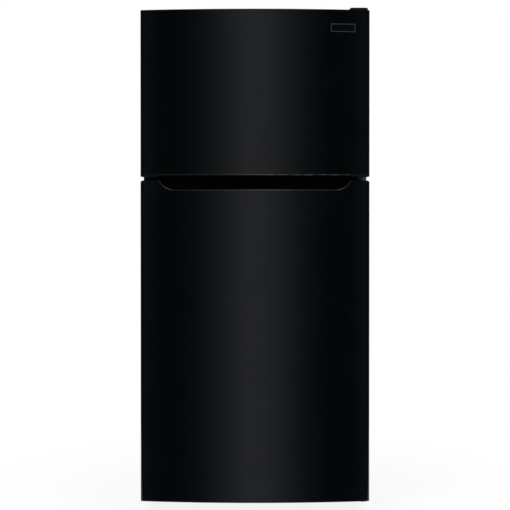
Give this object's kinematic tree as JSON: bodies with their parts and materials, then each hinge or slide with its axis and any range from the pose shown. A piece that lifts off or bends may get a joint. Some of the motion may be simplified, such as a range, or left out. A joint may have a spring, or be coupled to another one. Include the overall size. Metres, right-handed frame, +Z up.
{
  "type": "top freezer refrigerator",
  "caption": "Upright refrigerator with a freezer above a fresh-food compartment, curved black doors hinged on the right and a recessed grip between them.",
  "frame": {"origin": "on the floor, under the middle of the overall box", "axes": "+Z up, the doors face -Y, +X towards the hinge side"},
  "size_m": [0.762, 0.7714, 1.6796],
  "materials": {
    "black_enamel": "semi-gloss black enamel on steel",
    "black_trim": "satin black moulded plastic",
    "black_gasket": "matt black flexible vinyl",
    "foam": "rigid foam insulation",
    "white_liner": "glossy white moulded plastic",
    "white_trim": "satin white moulded plastic",
    "clear_plastic": "clear moulded plastic",
    "shelf_glass": "tempered clear glass",
    "lamp_diffuser": "frosted plastic",
    "zinc_steel": "zinc plated steel",
    "galvanised": "galvanised sheet steel",
    "nylon": "natural nylon",
    "grey_plastic": "satin grey plastic",
    "badge_black": "gloss black with a polished rim",
    "white_wire": "white coated wire",
    "aluminium_fins": "bare aluminium",
    "compressor_black": "satin black paint",
    "rubber_mount": "matt black rubber",
    "condenser_black": "satin black paint",
    "hardboard": "dark pressed board"
  },
  "bodies": {
    "cabinet": {"cabinet_wrapper": "black_enamel", "cabinet_back_panel": "galvanised", "cabinet_bottom_panel": "galvanised", "cabinet_foam": "foam", "freezer_liner": "white_liner", "fresh_food_liner": "white_liner", "mullion_rail": "black_enamel", "base_frame": "galvanised", "toe_grille": "black_trim", "roller_axles": "zinc_steel", "top_hinge": "zinc_steel", "top_hinge_cover": "black_trim", "center_hinge": "zinc_steel", "bottom_hinge": "zinc_steel", "cabinet_screws": "zinc_steel", "shelf_frames": "white_trim", "shelf_glass": "shelf_glass", "crisper_cover_frame": "white_trim", "control_housing": "white_trim", "lamp_lens": "lamp_diffuser", "evaporator_cover": "white_trim", "evaporator": "aluminium_fins", "fan_motors": "zinc_steel", "wire_shelf": "white_wire", "compressor": "compressor_black", "compressor_mounts": "rubber_mount", "condenser": "condenser_black", "drip_pan": "black_trim", "rear_cover": "hardboard", "cord_gland": "rubber_mount"},
    "freezer_door": {"freezer_door_skin": "black_enamel", "freezer_door_top_cap": "black_trim", "freezer_door_grip": "black_trim", "freezer_door_foam": "foam", "freezer_door_liner": "white_liner", "freezer_door_racks": "clear_plastic", "freezer_door_gasket": "black_gasket", "freezer_door_bushings": "nylon", "badge": "badge_black"},
    "fresh_food_door": {"fresh_food_door_skin": "black_enamel", "fresh_food_door_bottom_cap": "black_trim", "fresh_food_door_handle": "black_trim", "fresh_food_door_foam": "foam", "fresh_food_door_liner": "white_liner", "door_bins": "clear_plastic", "fresh_food_door_gasket": "black_gasket", "fresh_food_door_bushings": "nylon"},
    "dairy_cover": {"dairy_lid": "clear_plastic"},
    "crisper_drawer_left": {"crisper_left": "clear_plastic"},
    "crisper_drawer_right": {"crisper_right": "clear_plastic"},
    "humidity_control_left": {"humidity_slider_left": "grey_plastic"},
    "humidity_control_right": {"humidity_slider_right": "grey_plastic"},
    "thermostat_knob": {"temperature_knob": "grey_plastic"},
    "light_switch": {"light_switch_plunger": "white_trim"},
    "roller_left": {"rear_roller_left": "nylon"},
    "roller_right": {"rear_roller_right": "nylon"},
    "leg_left": {"leveling_leg_left": "zinc_steel"},
    "leg_right": {"leveling_leg_right": "zinc_steel"},
    "evaporator_fan": {"evaporator_fan_blade": "grey_plastic"},
    "condenser_fan": {"condenser_fan_blade": "grey_plastic"}
  },
  "joints": [
    {"name": "freezer_door_hinge", "type": "hinge", "parent": "cabinet", "child": "freezer_door", "pos_m": [0.361, -0.33175, 1.1175], "axis": [0, 0, 1], "range_deg": [0, 135]},
    {"name": "fresh_food_door_hinge", "type": "hinge", "parent": "cabinet", "child": "fresh_food_door", "pos_m": [0.361, -0.33175, 0.038], "axis": [0, 0, 1], "range_deg": [0, 135]},
    {"name": "dairy_cover_hinge", "type": "hinge", "parent": "fresh_food_door", "child": "dairy_cover", "pos_m": [0, -0.27375, 0.928], "axis": [1, 0, 0], "range_deg": [0, 60]},
    {"name": "crisper_slide_left", "type": "slide", "parent": "cabinet", "child": "crisper_drawer_left", "axis": [0, -1, 0], "range_m": [0, 0.25]},
    {"name": "crisper_slide_right", "type": "slide", "parent": "cabinet", "child": "crisper_drawer_right", "axis": [0, -1, 0], "range_m": [0, 0.25]},
    {"name": "humidity_slide_left", "type": "slide", "parent": "cabinet", "child": "humidity_control_left", "axis": [1, 0, 0], "range_m": [0, 0.036]},
    {"name": "humidity_slide_right", "type": "slide", "parent": "cabinet", "child": "humidity_control_right", "axis": [1, 0, 0], "range_m": [0, 0.036]},
    {"name": "thermostat_turn", "type": "hinge", "parent": "cabinet", "child": "thermostat_knob", "pos_m": [0.085, -0.13375, 1.05725], "axis": [0, -1, 0], "range_deg": [-120, 120]},
    {"name": "light_switch_slide", "type": "slide", "parent": "cabinet", "child": "light_switch", "axis": [0, -1, 0], "range_m": [0, 0.006]},
    {"name": "roller_spin_left", "type": "hinge", "parent": "cabinet", "child": "roller_left", "pos_m": [-0.355, 0.31975, 0.022], "axis": [1, 0, 0], "continuous": true},
    {"name": "leg_turn_left", "type": "hinge", "parent": "cabinet", "child": "leg_left", "pos_m": [-0.355, -0.18375, 0], "axis": [0, 0, 1], "continuous": true},
    {"name": "roller_spin_right", "type": "hinge", "parent": "cabinet", "child": "roller_right", "pos_m": [0.355, 0.31975, 0.022], "axis": [1, 0, 0], "continuous": true},
    {"name": "leg_turn_right", "type": "hinge", "parent": "cabinet", "child": "leg_right", "pos_m": [0.355, -0.18375, 0], "axis": [0, 0, 1], "continuous": true},
    {"name": "evaporator_fan_spin", "type": "hinge", "parent": "cabinet", "child": "evaporator_fan", "pos_m": [0, 0.25275, 1.5065], "axis": [0, 1, 0], "continuous": true},
    {"name": "condenser_fan_spin", "type": "hinge", "parent": "cabinet", "child": "condenser_fan", "pos_m": [-0.06, 0.27975, 0.136], "axis": [1, 0, 0], "continuous": true}
  ],
  "couplings": [
    {"joint": "crisper_slide_left", "follows": "fresh_food_door_hinge", "m_per_rad": 0.106},
    {"joint": "crisper_slide_right", "follows": "fresh_food_door_hinge", "m_per_rad": 0.106},
    {"joint": "light_switch_slide", "follows": "fresh_food_door_hinge", "m_per_rad": 0.0025}
  ]
}
